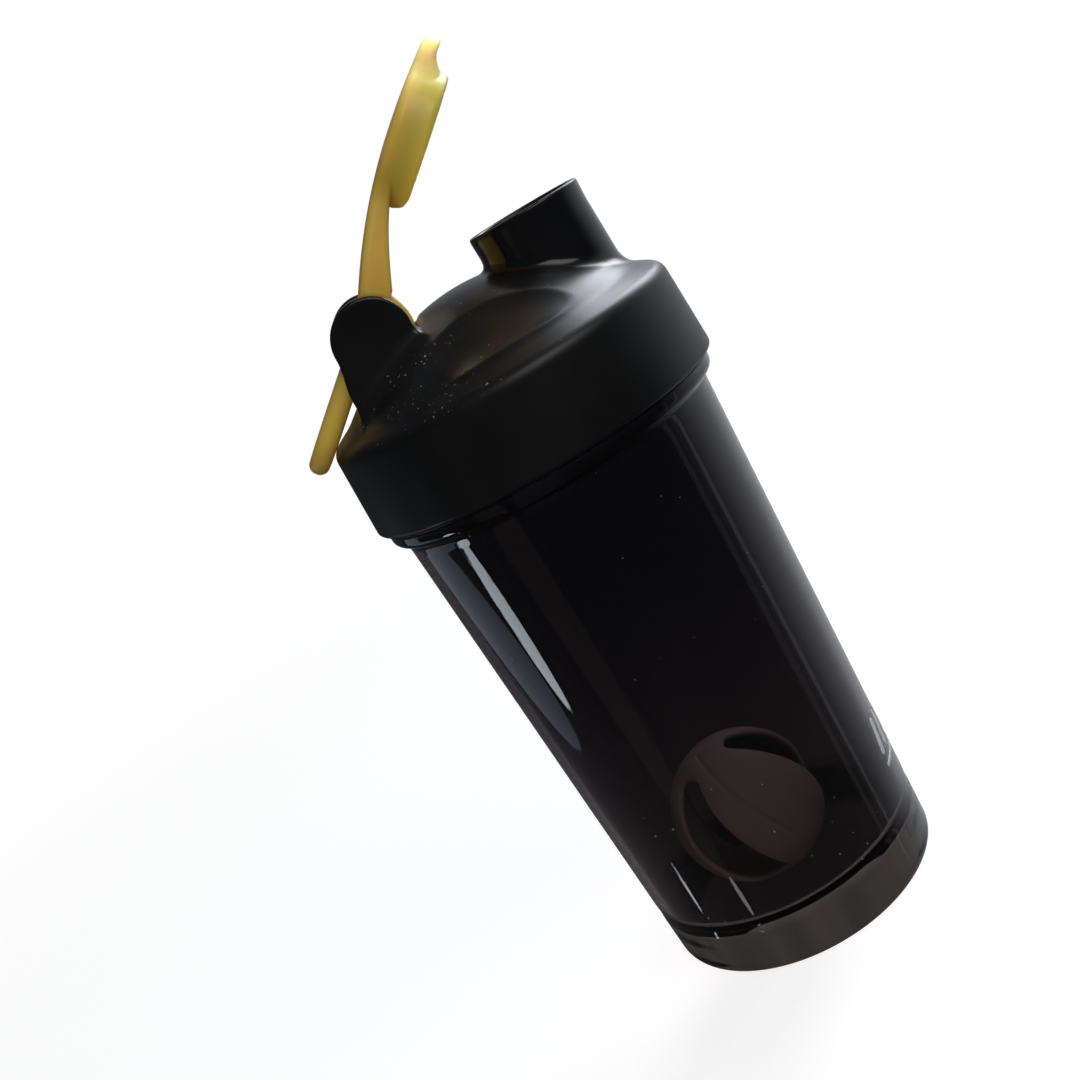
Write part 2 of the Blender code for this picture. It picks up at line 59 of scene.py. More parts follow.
# The bottle's axis runs through the middle of the seal ring. All shapes are in millimetres from that axis.
AXIS_X = (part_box("seal_ring")[0].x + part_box("seal_ring")[1].x) / 2
JOINT = {joint["name"]: joint for joint in frame["joints"]}
RIM_Z = box_in_mm("cup")[1].z
LID_BOTTOM = box_in_mm("lid")[0].z
RING_LOW, RING_HIGH = box_in_mm("seal_ring")
BALL_LOW, BALL_HIGH = box_in_mm("mixing_ball")
HINGE_X = (JOINT["cap_hinge"]["pos_m"][0] - AXIS_X) / MM
HINGE_Z = JOINT["cap_hinge"]["pos_m"][2] / MM
OPEN_ANGLE = radians(JOINT["cap_hinge"]["range_deg"][1])

# Cup, in millimetres
CUP_BASE_RADIUS = 36.2
CUP_SHOULDER_RADIUS = 41.45
CUP_SHOULDER_Z = 133.0
CUP_WALL = 2.2
FLOOR_TOP = 14.8
FLOOR_THICKNESS = 2.2
FOOT_INNER_RADIUS = 31.7
FLANGE_RADIUS = 44.2
FLANGE_TOP = 138.0
NECK_RADIUS = 41.0
NECK_BORE = 38.9
CUP_SEGMENTS = 288
CUP_FOOT_CORNER = 3.2
FLOOR_CORNER = 2.5
RIM_CORNER = 0.7
NECK_ROOT_CORNER = 0.5
BEAD_LOWER_RADIUS = 2.1
BEAD_ROOT_RADIUS = 1.5
GROOVE_DEPTH = 0.12
GROOVE_TOP = 17.0
GROOVE_HEIGHT = 4.0
GATE_RADIUS = 8.0
GATE_DEPTH = 0.3

# Screw thread
THREAD_LEAD = 5.0
THREAD_TURNS = 1.25
THREAD_BASE_WIDTH = 2.4
THREAD_CREST_WIDTH = 1.2
THREAD_FADE = 24 / 360
CUP_THREAD_START = 145.2
CUP_THREAD_HEIGHT = 1.9
THREAD_MARGIN = 0.4
THREAD_ROW = 0.2
LID_THREAD_HEIGHT = 1.8

# Lid
LID_RADIUS = 46.15
LID_DRAFT = 0.045
LID_BORE = 43.8
LID_WALL = 2.3
DOME_TOP = 179.2
DOME_FALL = 96.5
EDGE_RADIUS = 44.0
EDGE_Z = 160.9
EDGE_SLOPE = 0.53
EDGE_LIMIT_Z = 164.6
SEAT_Z = RING_HIGH.z + 0.3
PLUG_RADIUS = 38.3
PLUG_WALL = 1.5
PLUG_BOTTOM = 153.2
SCOOP_X = -1.0
SCOOP_Y = 29.2
SCOOP_HALF_LENGTH = 20.5
SCOOP_HALF_WIDTH = 7.8
SCOOP_DEPTH = 1.9
SCOOP_LIP = 0.12

# Spout
SPOUT_X = 22.9
SPOUT_TOP = 186.8
SPOUT_BORE = 12.2
SPOUT_RADIUS = 14.15
SPOUT_FLARE = 0.25
SPOUT_DRAFT = 0.035
FLARE_Z = 181.0
FLARE_LENGTH = 5.0

# Hinge
EAR_RADIUS = 9.5
EAR_INNER_Y = 13.0
EAR_OUTER_Y = 17.0
POCKET_RADIUS = 10.9
POCKET_WALL = 2.0
TRUNNION_RADIUS = 3.0
TRUNNION_END = 15.0
CLEARANCE = 0.3
EAR_REAR_FLARE = 1.8
EAR_REAR_LENGTH = 10.0
EAR_FRONT_TAPER = 0.2
EAR_FRONT_LENGTH = 4.0
BULGE_SINK = 0.5

# Flip cap, closed
CAP_RADIUS = 16.15
CAP_TOP = 190.9
CAP_ARM_FALL = 270.0
CAP_TAB_FALL = 380.0
CAP_CROWN_FALL = 500.0
CAP_SKIRT_BOTTOM = 181.3
CAP_SKIRT_BORE = 14.95
CAP_CORNER = 3.0
CAP_SEAT_Z = 187.2
CAP_CEILING_Z = 188.4
CAP_PLUG_RADIUS = 11.85
CAP_PLUG_BORE = 10.3
CAP_PLUG_BOTTOM = 182.4
CAP_PLUG_LEAD_IN = 0.65
CAP_PLUG_LEAD_TOP = 186.0
CAP_PLUG_LEAD_LENGTH = 3.6
TAB_END_X = 46.0
TAB_HALF_WIDTH = 7.5
TAB_THICKNESS = 4.0
TAB_ROOT_LENGTH = 4.6
TAB_ROOT_DEPTH = 2.6
HUB_RADIUS = 10.2
HUB_HALF_WIDTH = 12.7
HUB_TOP = 184.3
ARM_HALF_WIDTH = 9.5
ARM_START_X = HINGE_X + 11.5
ARM_END_X = SPOUT_X - 12.0
ARM_UNDER_DROP = 1.0
ARM_UNDER_RISE = 7.2
ARM_UNDER_POWER = 1.4
LOOP_END_X = -58.0
LOOP_HALF_WIDTH = 12.4
LOOP_BAR_WIDTH = 4.4
LOOP_BAR_HEIGHT = 4.9
LOOP_Z = 181.75
LOOP_ROOT = 4.0

# Mixing ball
BALL_CENTRE = (BALL_LOW + BALL_HIGH) / 2
BALL_RADIUS = 19.0
BALL_WALL = 1.8
BALL_START = radians(253)
BALL_TWIST = radians(-12)
BALL_TILT = radians(-14)
BALL_WINDOW = radians(40)
BALL_POLE = radians(22.5)
BALL_THIRD = radians(120)
BALL_FIRST_WINDOW = radians(100)
BALL_FIRST_SEAM = radians(26)
BALL_WINDOW_CORNER = 3.0
SEAM_DEPTH = 0.35
SEAM_HALF_WIDTH = 0.9

# Print on the cup
PRINT_LOW_Z = 25.5
PRINT_HEIGHT = 0.12
PRINT_BARS = 9
PRINT_PITCH = 4.9
PRINT_BAR_WIDTH = 2.3
PRINT_BAR_LOW = 5.2
PRINT_BAR_GROWTH = 4.2
PRINT_RULE_HALF_LENGTH = 21.5
PRINT_RULE_WIDTH = 1.1

# Roundings: how far each edge or joint between two faces is blended
EDGE_CREASE = 0.25
BAND_CORNER = 2.0
BAND_LOWER_CORNER = 1.2
INNER_CORNER = 0.6
WALL_END_CORNER = 0.7
SHARP_CORNER = 0.5
POCKET_CORNER = 1.8
SPOUT_FILLET = 2.6
BORE_CORNER = 0.9
EAR_CORNER = 0.9
EAR_FILLET = 3.5
PLATE_CORNER = 2.0
DISC_CORNER = 2.4
SKIRT_CORNER = 1.8
UNDER_CORNER = 1.4
PLAN_FILLET = 3.0
HUB_CORNER = 0.8
HUB_FILLET = 1.0
LOOP_FILLET = 1.2
PLUG_FILLET = 0.4
BALL_EDGE = 0.9

# Spacing of the points on the free-form meshes
LID_STEP = 0.55
CAP_STEP = 0.42
BALL_STEP = 0.5


# ---------------------------------------------------------------- distance functions

def soft_max(a, b, width):
    """The larger of two distances, with the edge between them rounded over about the width."""
    near = np.maximum(width - np.abs(a - b), 0.0)
    return np.maximum(a, b) + near * near / (4 * width)


def soft_min(a, b, width):
    """The smaller of two distances, with the joint between them filled over about the width."""
    return -soft_max(-a, -b, width)


def smooth_step(value):
    """Rises from 0 to 1 with no corner at either end."""
    share = np.clip(value, 0.0, 1.0)
    return share * share * (3 - 2 * share)


def thread_ridge(x, y, z, start, height):
    """How far the screw thread stands out at each place. It fades in and out at its ends."""
    turn = np.mod(np.arctan2(y, x) / (2 * pi), 1.0)
    ridge = 0.0
    for winding in (0, 1):
        along = turn + winding
        from_end = np.minimum(along, THREAD_TURNS - along)
        fade = np.clip(from_end / THREAD_FADE, 0.0, 1.0)
        off_line = np.abs(z - start - THREAD_LEAD * along)
        flank = (THREAD_BASE_WIDTH / 2 - off_line) / ((THREAD_BASE_WIDTH - THREAD_CREST_WIDTH) / 2)
        ridge = np.maximum(ridge, height * smooth_step(flank) * fade)
    return ridge


def dome_height(r):
    return DOME_TOP - r * r / DOME_FALL


def scoop_depth(x, y):
    """Depth of the two oval finger dishes."""
    along = (x - SCOOP_X) / SCOOP_HALF_LENGTH
    across = (np.abs(y) - SCOOP_Y) / SCOOP_HALF_WIDTH
    return SCOOP_DEPTH * soft_max(1.0 - along * along - across * across, 0.0, SCOOP_LIP)


def lid_outside(x, y, z, dome):
    """The band, the sloped edge and the dome, as one solid body."""
    r = np.hypot(x, y)
    edge_z = np.minimum(EDGE_Z + (EDGE_RADIUS - r) * EDGE_SLOPE, EDGE_LIMIT_Z)
    edge = (z - edge_z) / np.hypot(1, EDGE_SLOPE)
    band = r - (LID_RADIUS - LID_DRAFT * (z - LID_BOTTOM))
    shell = soft_max(band, soft_min(dome, edge, EDGE_CREASE), BAND_CORNER)
    return soft_max(shell, LID_BOTTOM - z, BAND_LOWER_CORNER)


def lid_inside(x, y, z, under):
    """The hollow in the lid: the threaded skirt, and the room inside the plug wall up to the dome."""
    r = np.hypot(x, y)
    ridge = thread_ridge(x, y, z, CUP_THREAD_START - THREAD_LEAD / 2, LID_THREAD_HEIGHT)
    skirt = soft_max(r - LID_BORE + ridge, z - SEAT_Z, INNER_CORNER)
    inside = np.minimum(skirt, np.maximum(r - PLUG_RADIUS + PLUG_WALL, under))
    plug = np.maximum(PLUG_RADIUS - PLUG_WALL - r, r - PLUG_RADIUS)
    plug = soft_max(plug, PLUG_BOTTOM - z, WALL_END_CORNER)
    return soft_max(inside, -plug, SHARP_CORNER)


def spout_shape(z, from_spout):
    """The spout, filled solid, with a slight flare at its rim."""
    flare = SPOUT_FLARE * smooth_step((z - FLARE_Z) / FLARE_LENGTH)
    radius = SPOUT_RADIUS + flare + SPOUT_DRAFT * (SPOUT_TOP - z)
    return soft_max(from_spout - radius, z - SPOUT_TOP, WALL_END_CORNER)


def ear_shape(x, side, z, from_hinge):
    """The two hinge ears: round heads on feet that widen to the rear."""
    drop = np.maximum(HINGE_Z - z, 0.0)
    rear = HINGE_X - EAR_RADIUS - EAR_REAR_FLARE * smooth_step(drop / EAR_REAR_LENGTH) - x
    front = x - HINGE_X - EAR_RADIUS + EAR_FRONT_TAPER * smooth_step(drop / EAR_FRONT_LENGTH)
    foot = np.maximum(np.maximum(rear, front), z - HINGE_Z)
    plate = np.abs(side - (EAR_INNER_Y + EAR_OUTER_Y) / 2) - (EAR_OUTER_Y - EAR_INNER_Y) / 2
    return soft_max(np.minimum(from_hinge - EAR_RADIUS, foot), plate, EAR_CORNER)


def lid_shape(x, y, z):
    r = np.hypot(x, y)
    from_spout = np.hypot(x - SPOUT_X, y)
    from_hinge = np.hypot(x - HINGE_X, z - HINGE_Z)
    side = np.abs(y)
    steep = np.sqrt(1 + (2 * r / DOME_FALL) ** 2)
    dome = (z - dome_height(r) + scoop_depth(x, y)) / steep
    under = dome + LID_WALL
    lid = soft_max(lid_outside(x, y, z, dome), -lid_inside(x, y, z, under), SHARP_CORNER)

    pocket = np.maximum(from_hinge - POCKET_RADIUS, side - EAR_INNER_Y)
    lid = soft_max(lid, -pocket, POCKET_CORNER)
    lid = soft_min(lid, np.maximum(spout_shape(z, from_spout), -under), SPOUT_FILLET)
    bulge = np.maximum(from_hinge - POCKET_RADIUS - POCKET_WALL, side - EAR_INNER_Y - POCKET_WALL)
    lid = np.minimum(lid, np.maximum(bulge, dome + BULGE_SINK))
    lid = soft_min(lid, np.maximum(ear_shape(x, side, z, from_hinge), -under), EAR_FILLET)

    lid = np.maximum(lid, -pocket)
    lid = soft_max(lid, SPOUT_BORE - from_spout, BORE_CORNER)
    sockets = np.maximum(from_hinge - TRUNNION_RADIUS - CLEARANCE, side - TRUNNION_END - CLEARANCE)
    return np.maximum(lid, -sockets)


def cap_top(x, y):
    """The flip cap's upper face, one smooth crown from the hinge to the tab."""
    from_middle = x - SPOUT_X
    fall = np.where(from_middle < 0, CAP_ARM_FALL, CAP_TAB_FALL)
    return CAP_TOP - from_middle**2 / fall - y * y / CAP_CROWN_FALL


def disc_shape(x, z, from_cap, over):
    """The round plate over the spout, whose lower edge is rounded off at the hinge side."""
    into_corner = np.clip(CAP_CORNER - CAP_RADIUS - (x - SPOUT_X), 0.0, CAP_CORNER)
    skirt_end = CAP_SKIRT_BOTTOM + CAP_CORNER - np.sqrt(CAP_CORNER**2 - into_corner**2)
    disc = soft_max(from_cap - CAP_RADIUS, over, DISC_CORNER)
    return soft_max(disc, skirt_end - z, SKIRT_CORNER)


def tab_shape(x, y, from_cap, over):
    """The finger tab, thicker at its root."""
    tongue = np.hypot(np.maximum(x - (TAB_END_X - TAB_HALF_WIDTH), 0.0), y) - TAB_HALF_WIDTH
    tongue = np.maximum(tongue, SPOUT_X - x)
    tab = soft_min(tongue, from_cap - CAP_RADIUS, PLAN_FILLET)
    tab = soft_max(tab, over, PLATE_CORNER)
    root = np.clip(1.0 - (from_cap - CAP_RADIUS) / TAB_ROOT_LENGTH, 0.0, 1.0)
    return soft_max(tab, -over - TAB_THICKNESS - TAB_ROOT_DEPTH * root**2, UNDER_CORNER)


def arm_shape(x, side, z, from_cap, over):
    """The arm from the hub to the plate. It narrows and thins on the way."""
    share = np.clip((x - ARM_START_X) / (ARM_END_X - ARM_START_X), 0.0, 1.0)
    half_width = HUB_HALF_WIDTH + (ARM_HALF_WIDTH - HUB_HALF_WIDTH) * smooth_step(share)
    plan = soft_min(side - half_width, from_cap - CAP_RADIUS, PLAN_FILLET)
    plan = np.maximum(np.maximum(plan, HINGE_X - x), x - SPOUT_X)
    under = HINGE_Z - ARM_UNDER_DROP + ARM_UNDER_RISE * (1.0 - (1.0 - share) ** ARM_UNDER_POWER)
    arm = soft_max(plan, over, PLATE_CORNER)
    return soft_max(arm, under - z, UNDER_CORNER)


def loop_shape(x, y, z):
    """The carry loop: an oval bar bent round in a U behind the hub."""
    half = LOOP_HALF_WIDTH - LOOP_BAR_WIDTH / 2
    turn_x = LOOP_END_X + LOOP_BAR_WIDTH / 2 + half
    plan = np.abs(np.hypot(np.minimum(x - turn_x, 0.0), y) - half)
    bar = np.hypot(plan / (LOOP_BAR_WIDTH / 2), (z - LOOP_Z) / (LOOP_BAR_HEIGHT / 2)) - 1.0
    return np.maximum(bar * LOOP_BAR_WIDTH / 2, x - HINGE_X + LOOP_ROOT)


def cap_shape(x, y, z):
    """The flip cap, closed."""
    from_cap = np.hypot(x - SPOUT_X, y)
    from_hinge = np.hypot(x - HINGE_X, z - HINGE_Z)
    side = np.abs(y)
    over = z - cap_top(x, y)
    cap = np.minimum(disc_shape(x, z, from_cap, over), tab_shape(x, y, from_cap, over))
    cap = np.minimum(cap, arm_shape(x, side, z, from_cap, over))

    hub = soft_max(from_hinge - HUB_RADIUS, side - HUB_HALF_WIDTH, HUB_CORNER)
    hub = soft_max(hub, z - HUB_TOP, UNDER_CORNER)
    cap = soft_min(cap, hub, HUB_FILLET)
    cap = soft_min(cap, loop_shape(x, y, z), LOOP_FILLET)

    hollow = soft_max(from_cap - CAP_SKIRT_BORE, z - CAP_SEAT_Z, INNER_CORNER)
    recess = soft_max(from_cap - CAP_PLUG_BORE, z - CAP_CEILING_Z, INNER_CORNER)
    cap = soft_max(cap, -np.minimum(hollow, recess), SHARP_CORNER)
    lead_in = CAP_PLUG_LEAD_IN * np.clip((CAP_PLUG_LEAD_TOP - z) / CAP_PLUG_LEAD_LENGTH, 0.0, 1.0)
    plug = np.maximum(from_cap - (CAP_PLUG_RADIUS - lead_in), CAP_PLUG_BORE - from_cap)
    plug = soft_max(plug, CAP_PLUG_BOTTOM - z, INNER_CORNER)
    plug = np.maximum(plug, z - CAP_CEILING_Z)
    cap = soft_min(cap, plug, PLUG_FILLET)

    trunnion = soft_max(from_hinge - TRUNNION_RADIUS, side - TRUNNION_END, SHARP_CORNER)
    return np.minimum(cap, trunnion)


def off_nearest(turn, first):
    """Angle from the nearest of three evenly spaced places round the ball."""
    return np.abs(np.mod(turn - first + BALL_THIRD / 2, BALL_THIRD) - BALL_THIRD / 2)


def ball_shape(x, y, z):
    """A thin ball with three slightly twisted, leaf-shaped windows and a seam between each two."""
    dx = x - BALL_CENTRE.x
    dy = y - BALL_CENTRE.y
    dz = z - BALL_CENTRE.z
    u = dx * cos(BALL_TILT) - dz * sin(BALL_TILT)
    w = dx * sin(BALL_TILT) + dz * cos(BALL_TILT)
    out = np.sqrt(u * u + dy * dy + w * w) + 1e-6
    polar = np.arccos(np.clip(w / out, -1.0, 1.0))
    round_axis = out * np.sin(polar)
    turn = np.arctan2(dy, u) - BALL_START - BALL_TWIST * np.cos(polar)
    window = (off_nearest(turn, BALL_FIRST_WINDOW) - BALL_WINDOW / 2) * round_axis
    window = soft_max(window, (np.abs(polar - pi / 2) - pi / 2 + BALL_POLE) * out, BALL_WINDOW_CORNER)
    shell = np.abs(out - BALL_RADIUS + BALL_WALL / 2) - BALL_WALL / 2
    off_seam = off_nearest(turn, BALL_FIRST_SEAM) * round_axis
    seam = SEAM_DEPTH * smooth_step(1.0 - off_seam / SEAM_HALF_WIDTH) * (out > BALL_RADIUS - BALL_WALL / 2)
    return soft_max(shell + seam, -window, BALL_EDGE)


# ---------------------------------------------------------------- meshes

def slope_of(shape, points, reach=0.02):
    slopes = []
    for axis in range(3):
        ahead, behind = points.copy(), points.copy()
        ahead[:, axis] += reach
        behind[:, axis] -= reach
        slopes.append((shape(*ahead.T) - shape(*behind.T)) / (2 * reach))
    return np.stack(slopes, 1)


def surface_quads(shape, low, high, step):
    """Quads round the zero level of a distance function, with each corner moved onto the surface."""
    axes = [np.arange(low[i] - 2.37 * step, high[i] + 2.5 * step, step) for i in range(3)]
    lattice = np.meshgrid(*axes, indexing="ij", sparse=True)
    size = tuple(len(a) for a in axes)
    field = np.broadcast_to(shape(*lattice), size)
    strides = np.array([size[1] * size[2], size[2], 1])
    crossings, cells = [], []
    for axis in range(3):
        before = [slice(None)] * 3
        after = [slice(None)] * 3
        before[axis] = slice(0, -1)
        after[axis] = slice(1, None)
        a, b = field[tuple(before)], field[tuple(after)]
        changed = (a < 0) != (b < 0)
        places = np.argwhere(changed)
        inner, outer = a[changed], b[changed]
        points = places.astype(float)
        points[:, axis] += inner / (inner - outer)
        around = []
        for du, dv in ((-1, -1), (0, -1), (0, 0), (-1, 0)):
            cell = places.copy()
            cell[:, (axis + 1) % 3] += du
            cell[:, (axis + 2) % 3] += dv
            around.append(cell @ strides)
        around = np.stack(around, 1)
        facing_back = inner > 0
        around[facing_back] = around[facing_back, ::-1]
        crossings.append(np.repeat(points, 4, axis=0))
        cells.append(around)
    quads = np.concatenate(cells)
    crossings = np.concatenate(crossings)
    used, corner = np.unique(quads.ravel(), return_inverse=True)
    corner = corner.ravel()
    count = np.bincount(corner)
    middle = np.stack([np.bincount(corner, weights=crossings[:, i]) / count for i in range(3)], 1)
    points = middle * step + np.array([a[0] for a in axes])
    home = points.copy()
    for _ in range(6):
        slope = slope_of(shape, points)
        steep = np.maximum((slope**2).sum(1), 0.2)
        points = points - (shape(*points.T) / steep)[:, None] * slope
        points = home + np.clip(points - home, -0.8 * step, 0.8 * step)
    normals = slope_of(shape, points, 0.05)
    normals /= np.linalg.norm(normals, axis=1)[:, None]
    return points, normals, corner.reshape(-1, 4)


def mesh_piece(name, points, quads, normals=None, turned=None):
    """A mesh from millimetre points round the bottle's axis. turned is a 4x4 matrix that places them."""
    points = np.asarray(points, float) * MM
    if turned is not None:
        spin = np.array(turned.to_3x3())
        points = points @ spin.T + np.array(turned.translation)
        normals = normals @ spin.T
    points = points + np.array([AXIS_X, 0.0, 0.0])
    mesh = bpy.data.meshes.new(name)
    mesh.from_pydata([tuple(p) for p in points], [], [tuple(q) for q in quads])
    mesh.shade_smooth()
    if normals is not None:
        mesh.normals_split_custom_set_from_vertices([tuple(n) for n in normals])
    piece = bpy.data.objects.new(name, mesh)
    bpy.context.scene.collection.objects.link(piece)
    return piece


def arc(centre, radius, start, end, steps):
    """Points of an arc in the (radius, z) plane, angles in degrees from the outward direction."""
    points = []
    for i in range(steps + 1):
        angle = radians(start + (end - start) * i / steps)
        points.append((centre[0] + radius * cos(angle), centre[1] + radius * sin(angle)))
    return points


def with_holding_points(profile, gap=0.35, closed=False):
    """Adds a point near both ends of each long straight run, so that smooth shading stays flat there."""
    ends = profile[1:] + (profile[:1] if closed else [])
    held = []
    for (r0, z0), (r1, z1) in zip(profile, ends):
        held.append((r0, z0))
        run = np.hypot(r1 - r0, z1 - z0)
        if run > 4 * gap:
            held.append((r0 + (r1 - r0) * gap / run, z0 + (z1 - z0) * gap / run))
            held.append((r1 - (r1 - r0) * gap / run, z1 - (z1 - z0) * gap / run))
    if not closed:
        held.append(profile[-1])
    return held


def turned_quads(profile, segments, swell=None, closed=False):
    """A profile of (radius, z) points turned about the bottle's axis. swell adds to the radius."""
    angles = 2 * pi * np.arange(segments) / segments
    points, rows = [], []
    for radius, z in profile:
        if radius < 1e-6:
            rows.append([len(points)] * segments)
            points.append((0.0, 0.0, z))
            continue
        wide = radius + (swell(angles, radius, z) if swell else 0.0)
        rows.append(list(range(len(points), len(points) + segments)))
        points += list(zip(wide * np.cos(angles), wide * np.sin(angles), np.full(segments, z)))
    pairs = list(zip(rows, rows[1:]))
    if closed:
        pairs.append((rows[-1], rows[0]))
    quads = []
    for first, second in pairs:
        for i in range(segments):
            j = (i + 1) % segments
            face = (first[i], second[i], second[j], first[j])
            quads.append(tuple(dict.fromkeys(face)))
    return points, quads


def cup_radius(z):
    return CUP_BASE_RADIUS + (CUP_SHOULDER_RADIUS - CUP_BASE_RADIUS) * z / CUP_SHOULDER_Z


def cup_inside_profile():
    """From the middle of the floor up the inside to the rim."""
    floor_edge = cup_radius(FLOOR_TOP) - CUP_WALL
    profile = [(0.0, FLOOR_TOP), (floor_edge - FLOOR_CORNER, FLOOR_TOP)]
    profile += arc((floor_edge - FLOOR_CORNER, FLOOR_TOP + FLOOR_CORNER), FLOOR_CORNER, -90, -2, 8)
    profile += [(CUP_SHOULDER_RADIUS - CUP_WALL, CUP_SHOULDER_Z - 1), (NECK_BORE, FLANGE_TOP + 1)]
    profile += arc((NECK_BORE + RIM_CORNER, RIM_Z - RIM_CORNER), RIM_CORNER, 180, 90, 5)
    return profile


def cup_neck_profile(thread_low, thread_top):
    """From the rim down the threaded neck, and round the bead to the shoulder."""
    profile = arc((NECK_RADIUS - RIM_CORNER, RIM_Z - RIM_CORNER), RIM_CORNER, 90, 0, 5)
    profile += [(NECK_RADIUS, float(z)) for z in np.arange(thread_top, thread_low, -THREAD_ROW)]
    root = NECK_ROOT_CORNER
    profile += arc((NECK_RADIUS + root, FLANGE_TOP + root), root, 180, 270, 4)
    profile += arc((FLANGE_RADIUS - RIM_CORNER, FLANGE_TOP - RIM_CORNER), RIM_CORNER, 90, 0, 5)
    profile += arc((FLANGE_RADIUS - BEAD_LOWER_RADIUS, FLANGE_TOP - 2.2), BEAD_LOWER_RADIUS, -8, -62, 5)
    profile += arc((cup_radius(133) + 1.6, FLANGE_TOP - 5.6), BEAD_ROOT_RADIUS, 110, 178, 5)
    return profile


def cup_wall_profile():
    """Down the tapered wall, with a shallow groove level with the floor."""
    profile = [(cup_radius(z), float(z)) for z in (131.0, 90.0, 50.0, 17.5)]
    for z in (16.5, 15.7, 15.0, 14.3, 13.5):
        profile.append((cup_radius(z) - GROOVE_DEPTH * sin(pi * (GROOVE_TOP - z) / GROOVE_HEIGHT), z))
    profile.append((cup_radius(12.8), 12.8))
    return profile


def cup_foot_profile():
    """Round the foot, up its inside and in under the floor to the moulding gate."""
    floor_under = FLOOR_TOP - FLOOR_THICKNESS
    corner = CUP_FOOT_CORNER
    profile = arc((cup_radius(corner) - corner, corner), corner, 0, -90, 10)
    profile += arc((FOOT_INNER_RADIUS + 0.5, 0.5), 0.5, 270, 180, 4)
    profile += [(FOOT_INNER_RADIUS + 1.2, floor_under - 1.5), (FOOT_INNER_RADIUS - 0.3, floor_under)]
    profile += [(GATE_RADIUS, floor_under), (GATE_RADIUS - 0.6, floor_under + GATE_DEPTH)]
    profile += [(0.0, floor_under + GATE_DEPTH)]
    return profile


def make_cup():
    thread_top = CUP_THREAD_START + THREAD_LEAD * THREAD_TURNS + THREAD_BASE_WIDTH / 2 + THREAD_MARGIN
    thread_low = CUP_THREAD_START - THREAD_BASE_WIDTH / 2 - THREAD_MARGIN

    def swell(angles, radius, z):
        if abs(radius - NECK_RADIUS) > 1e-6 or not thread_low <= z <= thread_top:
            return 0.0
        return thread_ridge(np.cos(angles), np.sin(angles), z, CUP_THREAD_START, CUP_THREAD_HEIGHT)

    profile = cup_inside_profile() + cup_neck_profile(thread_low, thread_top)
    profile += cup_wall_profile() + cup_foot_profile()
    points, quads = turned_quads(with_holding_points(profile), CUP_SEGMENTS, swell)
    return mesh_piece("cup_body", points, quads)


def make_seal_ring():
    """A flat ring with a raised lip on each face."""
    low, high = RING_LOW.z, RING_HIGH.z
    inner, outer = 38.7, RING_HIGH.x
    corner = 0.35
    profile = arc((outer - corner, low + corner), corner, -90, 0, 4)
    profile += arc((outer - corner, high - corner), corner, 0, 90, 4)
    profile += [(41.6, high - 0.15), (41.2, high - 0.3), (40.8, high - 0.15)]
    profile += arc((inner + corner, high - corner), corner, 90, 180, 4)
    profile += arc((inner + corner, low + corner), corner, 180, 270, 4)
    profile += [(40.8, low + 0.15), (41.2, low + 0.3), (41.6, low + 0.15)]
    points, quads = turned_quads(with_holding_points(profile, 0.15, True), 160, closed=True)
    return mesh_piece("seal_ring_silicone", points, [q[::-1] for q in quads])


def print_stroke(points, quads, start, end, width):
    """One raised stroke with round ends on the cup's cone, between two places of (arc length, z)."""
    start, end = np.array(start), np.array(end)
    run = end - start
    length = float(np.hypot(*run))
    along, across = run / length, np.array([-run[1], run[0]]) / length
    half = width / 2
    caps = [half * (1 - cos(radians(a))) for a in (8, 25, 45, 65, 90)]
    body = list(np.linspace(half, length - half, max(3, int(length / 1.5))))
    stations = caps[:-1] + body + [length - c for c in reversed(caps[:-1])]
    rows = []
    for place in stations:
        into = max(0.0, half - place, place - (length - half))
        reach = np.sqrt(max(half**2 - into**2, 1e-4))
        row = []
        for share, lift in ((-1, -0.1), (-1, 0.7), (-0.86, 1), (0, 1), (0.86, 1), (1, 0.7), (1, -0.1)):
            s, z = start + along * place + across * reach * share
            radius = cup_radius(z) + PRINT_HEIGHT * lift
            angle = s / cup_radius(z)
            row.append(len(points))
            points.append((radius * cos(angle), radius * sin(angle), z))
        rows.append(row)
    for first, second in zip(rows, rows[1:]):
        for i in range(len(first)):
            j = (i + 1) % len(first)
            quads.append((first[i], second[i], second[j], first[j]))
    quads.append(tuple(rows[0]))
    quads.append(tuple(reversed(rows[-1])))


def make_print():
    """A generic mark: slanted bars that grow towards both sides, over a thin rule."""
    points, quads = [], []
    low = PRINT_LOW_Z + 3.4
    for i in range(PRINT_BARS):
        middle = (i - (PRINT_BARS - 1) / 2) * PRINT_PITCH
        height = PRINT_BAR_LOW + PRINT_BAR_GROWTH * abs(cos(pi * i / (PRINT_BARS - 1)))
        start = middle - 0.9
        print_stroke(points, quads, (start, low), (middle + 1.5, low + height), PRINT_BAR_WIDTH)
    rule_z = PRINT_LOW_Z + 0.7
    half = PRINT_RULE_HALF_LENGTH
    print_stroke(points, quads, (-half, rule_z), (half, rule_z), PRINT_RULE_WIDTH)
    return mesh_piece("cup_print", points, quads)


